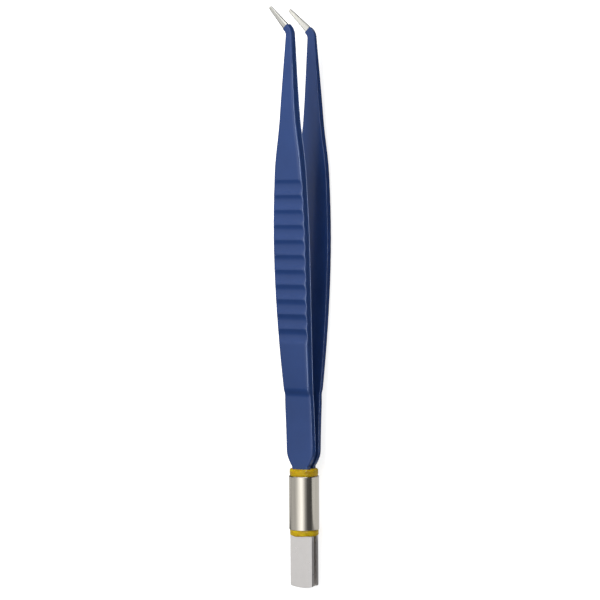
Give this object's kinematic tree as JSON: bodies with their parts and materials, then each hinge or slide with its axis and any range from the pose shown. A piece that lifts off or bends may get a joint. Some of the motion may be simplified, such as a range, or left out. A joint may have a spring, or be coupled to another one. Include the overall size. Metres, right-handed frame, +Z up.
{
  "type": "bipolar forceps",
  "caption": "Sprung bipolar forceps with angled bare tips, blue insulated arms with grooved finger grips, a steel ferrule and a flat two-blade plug.",
  "frame": {"origin": "middle of the bounding box's base, on the table that the forceps lie on", "axes": "+Y runs along the forceps from the contact blades to the tips, +Z is up and is the way the arms open, +X is across the arms; the tips bend towards -X"},
  "size_m": [0.0136, 0.1794, 0.02],
  "materials": {
    "blue_nylon": "satin nylon coating",
    "bare_steel": "fine satin",
    "contact_metal": "satin, bead blasted",
    "ferrule_steel": "polished with fine turning lines",
    "yellow_resin": "poured resin, uneven gloss"
  },
  "bodies": {
    "connector": {"ferrule": "ferrule_steel", "resin_plug": "yellow_resin", "upper_contact": "contact_metal", "lower_contact": "contact_metal"},
    "upper_arm": {"upper_arm": "bare_steel", "upper_arm_coating": "blue_nylon"},
    "lower_arm": {"lower_arm": "bare_steel", "lower_arm_coating": "blue_nylon"}
  },
  "joints": [
    {"name": "upper_arm_flex", "type": "hinge", "parent": "connector", "child": "upper_arm", "pos_m": [0.00108, -0.05396, 0.00726], "axis": [-1, 0, 0], "range_deg": [0, 2.13], "stiffness_Nm_per_rad": 3},
    {"name": "lower_arm_flex", "type": "hinge", "parent": "connector", "child": "lower_arm", "pos_m": [0.00108, -0.05379, 0.00377], "axis": [1, 0, 0], "range_deg": [0, 2.13], "stiffness_Nm_per_rad": 3}
  ]
}
